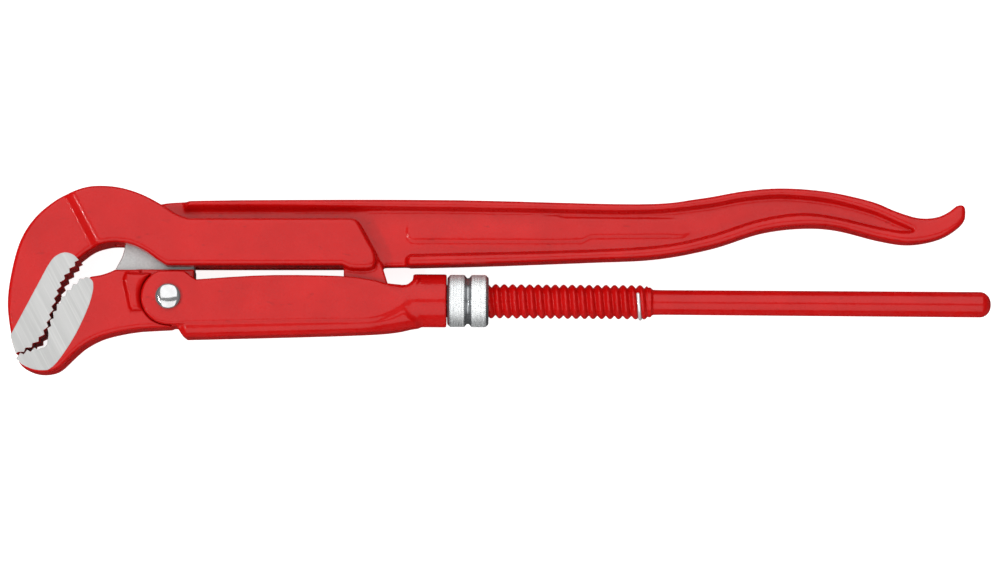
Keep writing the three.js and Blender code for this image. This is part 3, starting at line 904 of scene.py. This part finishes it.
def lower_leg():
    """The threaded rod with its plain grip, the flat eye at its front, and the pin through that eye."""
    segments = 72
    turn = np.arange(segments)[None, :] / segments
    per_turn = 14 / COARSE
    x = np.arange(THREAD_START, THREAD_END + 0.4, THREAD_PITCH / per_turn)[:, None]
    ends = np.where(x < 160, 5.6, 6.3)
    blend = smoothstep(THREAD_START, THREAD_START + 3, x) * smoothstep(THREAD_END + 0.4, THREAD_END - 0.6, x)
    thread = ends + (thread_radius(x, turn, THREAD_MEAN) - ends) * blend
    tip = [
        (TOOL_END - 4.6 + 4.6 * math.sin(a), 0.4 + (ROD_END_RADIUS - 0.4) * math.cos(a))
        for a in np.linspace(0, math.pi / 2, 14)
    ]
    front = np.array(rounded([(96, 0.3), (96, 4.2), (98.5, 5.5), (THREAD_START - 0.4, 5.6)], 0.8))
    collar = [(THREAD_END + 0.5, 6.4), (THREAD_END + 1.3, 6.4), (THREAD_END + 2.1, ROD_RADIUS + 0.1)]
    rod = [(THREAD_END + 6, ROD_RADIUS), (270, 5.38), tip[0]]
    back = np.array(rounded(collar + rod, 0.6) + tip[1:])
    stations = np.vstack([front[:, :1], x, back[:, :1]])
    front_radii, back_radii = (np.repeat(run[:, 1:], segments, axis=1) for run in (front, back))
    radii = np.vstack([front_radii, thread, back_radii])
    faces = around(len(stations), segments)
    vertices = around_x(stations, radii)
    piece("lower_leg_steel", vertices, faces, LEVER, "lower_leg", RED, ["lower_leg"])

    low, high = (76, -7, 0), (99, 7, 4)
    x, y, z, step = samples(low, high, 0.35)
    neck = outline(arc(PIN_X, 0, 5.2, 90, 270, 18), [(97.5, -4.4), (97.5, 4.4)])
    plate = meet(inside(neck, x, y), z - GUIDE_HALF, 0.5)
    plate = cut(plate, np.hypot(x - PIN_X, y) - PIN_RADIUS - PIN_PLAY, 0.2)
    vertices, quads = surface(plate, low, step)
    piece("lower_leg_eye", vertices, quads, LEVER, "lower_leg", RED)

    profile = rounded([(-6.8, 0.3), (-6.8, PIN_RADIUS), (6.8, PIN_RADIUS), (6.8, 0.3)], 0.6)
    place = LEVER @ Matrix.Translation((PIN_X, 0, 0)) @ UPRIGHT
    turned("cross_pin_steel", profile, 40, place, "lower_leg", TONGUE, ["cross_pin"])


RING_WIRE = 0.7
RING_X = 200.1
RING_LIFT = 0.62  # of the wire over the bottom of the thread's groove
RING_START = 0.17  # ends of the stop ring, in turns from the top line
RING_SWEEP = 0.75


def stop_ring():
    """An open wire ring that lies in a groove of the thread, with rounded ends."""
    steps, sides = 72, 12
    share = np.linspace(0, 1, steps + 1)[:, None]
    turn = RING_START + RING_SWEEP * share
    from_end = np.minimum(share, 1 - share) * steps / 1.5
    wire = RING_WIRE * np.sqrt(np.clip(1 - (1 - from_end) ** 2, 0.06, 1))
    wire = np.where(from_end < 1, wire, RING_WIRE)
    around_wire = 2 * math.pi * np.arange(sides)[None, :] / sides
    radius = THREAD_MEAN - THREAD_WAVE + RING_WIRE + RING_LIFT + wire * np.cos(around_wire)
    x = RING_X + THREAD_PITCH * (turn - 0.25) - wire * np.sin(around_wire)
    angle = 2 * math.pi * turn
    vertices = np.stack([x, radius * np.cos(angle), radius * np.sin(angle)], axis=-1).reshape(-1, 3)
    faces = around(steps + 1, sides)
    piece("stop_ring_wire", vertices, faces, LEVER, "lower_leg", WIRE, ["stop_ring"])


# ---- adjusting nut -------------------------------------------------------------------------------

KNURLS = 72  # ridges around the nut
KNURL_DEPTH = 0.45


def adjusting_nut():
    """Two diamond-knurled bands with a groove between them, threaded inside."""
    segments = KNURLS * (4 if COARSE == 1 else 2)
    turn = np.arange(segments)[None, :] / segments
    middle = (NUT_START + NUT_END) / 2
    hull = rounded(
        [
            (NUT_START, NUT_BORE),
            (NUT_START, NUT_RADIUS - NUT_CHAMFER),
            (NUT_START + NUT_CHAMFER, NUT_RADIUS),
            (middle - 1.6, NUT_RADIUS),
            (middle - 0.4, NUT_RADIUS - NUT_GROOVE),
            (middle + 0.4, NUT_RADIUS - NUT_GROOVE),
            (middle + 1.6, NUT_RADIUS),
            (NUT_END - NUT_CHAMFER, NUT_RADIUS),
            (NUT_END, NUT_RADIUS - NUT_CHAMFER),
            (NUT_END, NUT_BORE),
        ],
        0.35,
        3,
    )
    hull = np.array(hull)
    fine = [hull[0]]
    for a, b in zip(hull, hull[1:]):
        count = max(1, int(np.hypot(*(b - a)) / (0.2 * COARSE)))
        fine += [a + (b - a) * t for t in np.linspace(0, 1, count + 1)[1:]]
    fine = np.array(fine)
    x, r = fine[:, :1], fine[:, 1:]
    lead = KNURLS / (2 * math.pi * NUT_RADIUS)  # ridges per millimetre along the nut
    right, left = (np.abs(((KNURLS * turn + side * lead * x) % 1) * 2 - 1) for side in (1, -1))
    band = smoothstep(NUT_RADIUS - 0.3, NUT_RADIUS - 0.02, r)
    radii = r - KNURL_DEPTH * band * (1 - np.minimum(np.minimum(right, left) * 2, 1))
    inner_x = np.arange(NUT_END - 0.6, NUT_START + 0.5, -THREAD_PITCH / 12)[:, None]
    inner = thread_radius(inner_x, turn, THREAD_MEAN + THREAD_CLEARANCE)
    stations = np.vstack([x, inner_x])
    vertices = around_x(stations, np.vstack([radii, inner]))
    faces = around(len(stations), segments, closed=True)
    nut = piece(
        "adjusting_nut_knurled",
        vertices,
        faces,
        LEVER,
        "adjusting_nut",
        ZINC,
        ["adjusting_nut"],
    )
    # faces that lie low take the darker zinc: painted shade in the knurl, the groove, the chamfers, the ends
    # and the bore
    nut.data.materials.append(PAINTED_SHADE_ZINC)
    height = np.hypot(vertices[:, 1], vertices[:, 2])[np.array(faces)].mean(axis=1)
    nut.data.polygons.foreach_set("material_index", (height < NUT_RADIUS - 0.5 * KNURL_DEPTH).astype(int))


# ---- stage ---------------------------------------------------------------------------------------

CAMERA_DISTANCE = 1.7
CAMERA_TILT = math.radians(6.5)  # off the vertical, towards the lower leg
CAMERA_LENS = 143.0
CAMERA_SENSOR = 36.0
FLOOR_GLOW = 0.9  # a light table: hardly a shadow


def camera():
    """A long lens above the tool, tilted a little towards the lower leg."""
    data = bpy.data.cameras.new("camera")
    data.lens = CAMERA_LENS
    data.sensor_width = CAMERA_SENSOR
    made = linked("camera", data)
    back = Vector((0, -math.sin(CAMERA_TILT), math.cos(CAMERA_TILT)))
    target = Vector((0, 0, rivet_axis.z))
    made.location = target + back * CAMERA_DISTANCE
    made.rotation_euler = (CAMERA_TILT, 0, 0)
    bpy.context.scene.camera = made


def floor():
    """The white table under the tool."""
    mesh = bpy.data.meshes.new("floor")
    reach = 30  # metres, past the edge of any view
    corners = [(-reach, -reach, 0), (reach, -reach, 0), (reach, reach, 0), (-reach, reach, 0)]
    mesh.from_pydata(corners, [], [(0, 1, 2, 3)])
    material = bpy.data.materials.new("pale_floor")
    material.use_nodes = True
    shader = material.node_tree.nodes["Principled BSDF"]
    shader.inputs["Base Color"].default_value = (0.42, 0.42, 0.42, 1)
    shader.inputs["Roughness"].default_value = 0.9
    shader.inputs["Specular IOR Level"].default_value = 0.1
    shader.inputs["Emission Color"].default_value = (1, 1, 1, 1)
    shader.inputs["Emission Strength"].default_value = FLOOR_GLOW
    mesh.materials.append(material)
    made = linked("floor", mesh)
    made.location.z = -0.0005
    made.visible_glossy = False  # the studio below the tool's edges stays dark in its gloss


def softbox(name, place, size, power):
    """A rectangular light that looks at the tool."""
    data = bpy.data.lights.new(name, "AREA")
    data.shape = "RECTANGLE"
    data.size, data.size_y = size
    data.energy = power
    made = linked(name, data)
    made.location = place
    made.rotation_euler = (Vector((0, 0, 0)) - Vector(place)).to_track_quat("-Z", "Y").to_euler()


def dome():
    """The studio around the tool: dark walls at the horizon, an even ceiling."""
    world = bpy.data.worlds.new("studio")
    world.use_nodes = True
    nodes, links = world.node_tree.nodes, world.node_tree.links
    split = nodes.new("ShaderNodeSeparateXYZ")
    links.new(nodes.new("ShaderNodeTexCoord").outputs["Generated"], split.inputs["Vector"])
    height = nodes.new("ShaderNodeMapRange")
    height.inputs["From Min"].default_value = -1.0
    links.new(split.outputs["Z"], height.inputs["Value"])
    ramp = nodes.new("ShaderNodeValToRGB")
    stops = ramp.color_ramp.elements
    stops[0].position, stops[0].color = 0.15, (0.02, 0.02, 0.02, 1)
    stops[1].position, stops[1].color = 0.86, (0.2, 0.2, 0.2, 1)
    for position in (0.42, 0.70):
        stop = stops.new(position)
        stop.color = (0.03, 0.03, 0.03, 1)
    links.new(height.outputs["Result"], ramp.inputs["Fac"])
    links.new(ramp.outputs["Color"], nodes["Background"].inputs["Color"])
    bpy.context.scene.world = world


def light():
    """Two ceiling panels with a narrow gap along the tool, and a bright strip on the jaws' side."""
    dome()
    softbox("back_panel", (-0.1, 1.34, 1.87), (3.0, 3.16), 58)
    softbox("front_panel", (-0.1, -1.51, 1.74), (3.0, 2.55), 41)
    softbox("side_strip", (-1.75, -0.4, 1.9), (1.2, 0.05), 20)
    bpy.context.scene.view_settings.view_transform = "Standard"


camera()
upper_leg()
lower_jaw()
guide_tongue()
jaw_rivet()
guide_sleeve()
lower_leg()
stop_ring()
adjusting_nut()
floor()
light()
